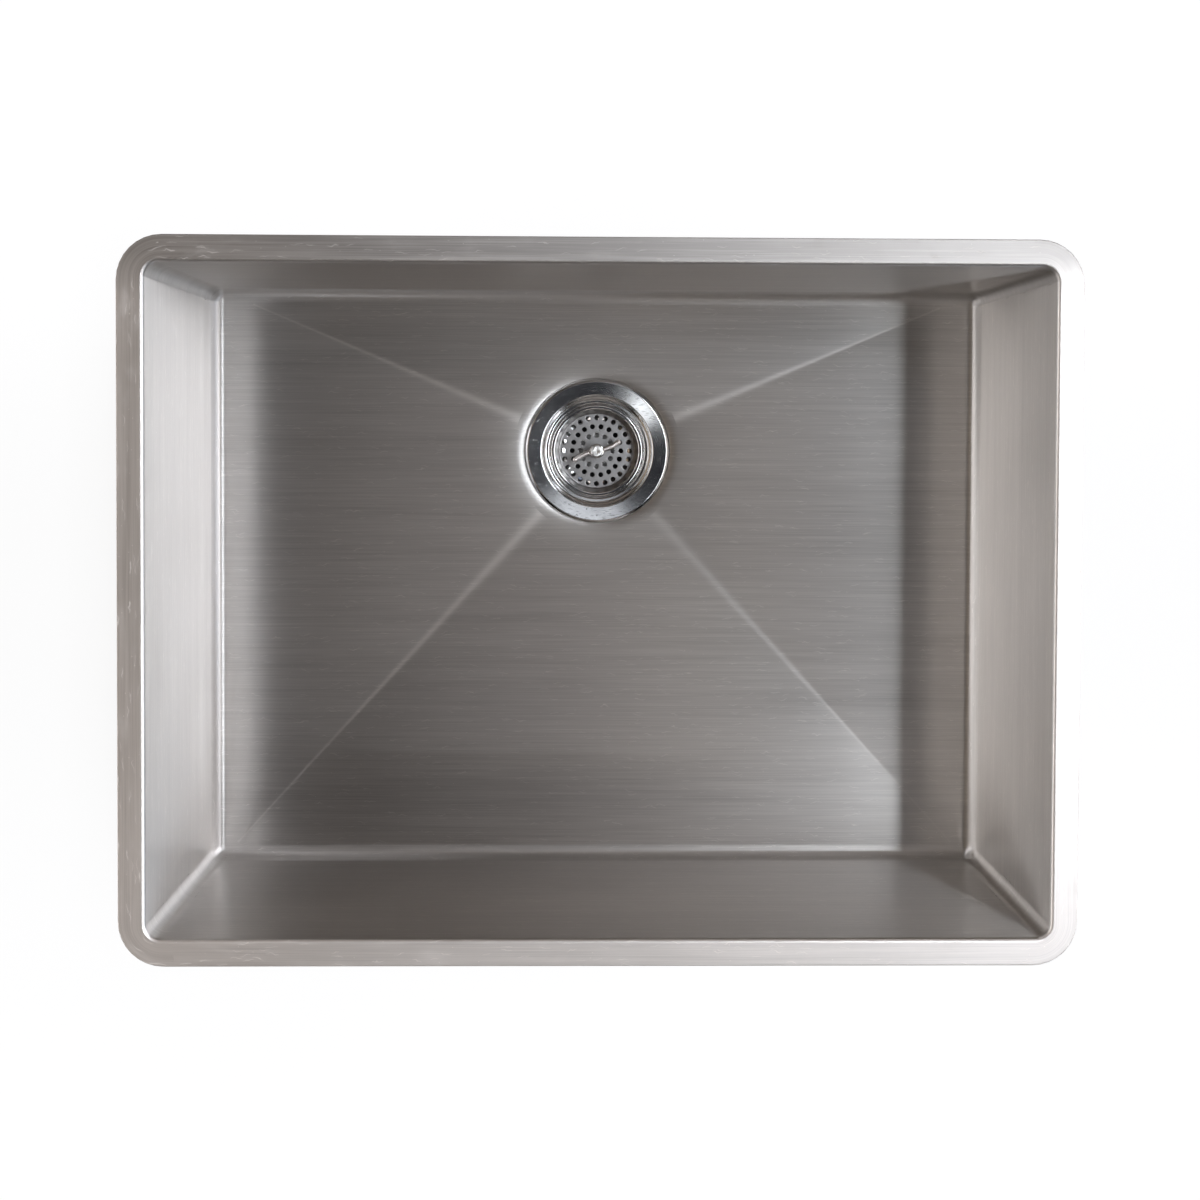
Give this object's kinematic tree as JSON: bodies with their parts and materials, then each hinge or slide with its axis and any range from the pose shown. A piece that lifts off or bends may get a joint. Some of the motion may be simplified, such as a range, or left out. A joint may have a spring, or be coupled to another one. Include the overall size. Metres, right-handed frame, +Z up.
{
  "type": "undermount kitchen sink",
  "caption": "Deep rectangular one-bowl stainless sink with a flat mounting flange, creased floor and a round waste with a lift-out pierced basket and S-shaped handle.",
  "frame": {"origin": "middle of the bowl's opening, in the plane of the flange's top face, which meets the worktop's underside", "axes": "+X to the right along the bowl, +Y to the back wall, where the drain is nearer, +Z up out of the bowl"},
  "size_m": [0.636, 0.482, 0.3103],
  "materials": {
    "brushed_stainless": "stainless steel with a long brushed grain",
    "polished_stainless": "mirror polished stainless steel",
    "plain_stainless": "plain turned or stamped stainless steel",
    "pad_rubber": "matt moulded rubber sheet",
    "seal_rubber": "smooth black rubber",
    "moulded_plastic": "off-white moulded polypropylene",
    "nylon": "natural nylon",
    "brass": "turned brass"
  },
  "bodies": {
    "sink": {"bowl": "brushed_stainless", "sound_pad_back": "pad_rubber", "sound_pad_left": "pad_rubber", "sound_pad_front": "pad_rubber", "sound_pad_right": "pad_rubber", "sound_pad_floor_left": "pad_rubber", "sound_pad_floor_right": "pad_rubber", "sound_pad_floor_front": "pad_rubber", "strainer_cup": "polished_stainless", "top_seal": "seal_rubber", "body_gasket": "seal_rubber", "neck_seal": "seal_rubber", "waste_body": "moulded_plastic", "insert_nut": "brass", "hub_washer": "seal_rubber", "fixing_screw": "plain_stainless"},
    "basket": {"basket": "polished_stainless"},
    "bush": {"spindle_bush": "nylon", "grip_ring": "seal_rubber"},
    "plug": {"spindle": "plain_stainless", "handle": "polished_stainless", "cap_screw": "polished_stainless", "stopper": "seal_rubber", "stopper_top_plate": "plain_stainless", "stopper_lower_plate": "plain_stainless", "stopper_nut": "plain_stainless"}
  },
  "joints": [
    {"name": "basket_lift", "type": "slide", "parent": "sink", "child": "basket", "axis": [0, 0, 1], "range_m": [0, 0.1]},
    {"name": "handle_turn", "type": "hinge", "parent": "basket", "child": "bush", "pos_m": [0, 0.098, -0.205], "axis": [0, 0, 1], "continuous": true},
    {"name": "plug_lift", "type": "slide", "parent": "bush", "child": "plug", "axis": [0, 0, 1], "range_m": [0, 0.006]}
  ]
}
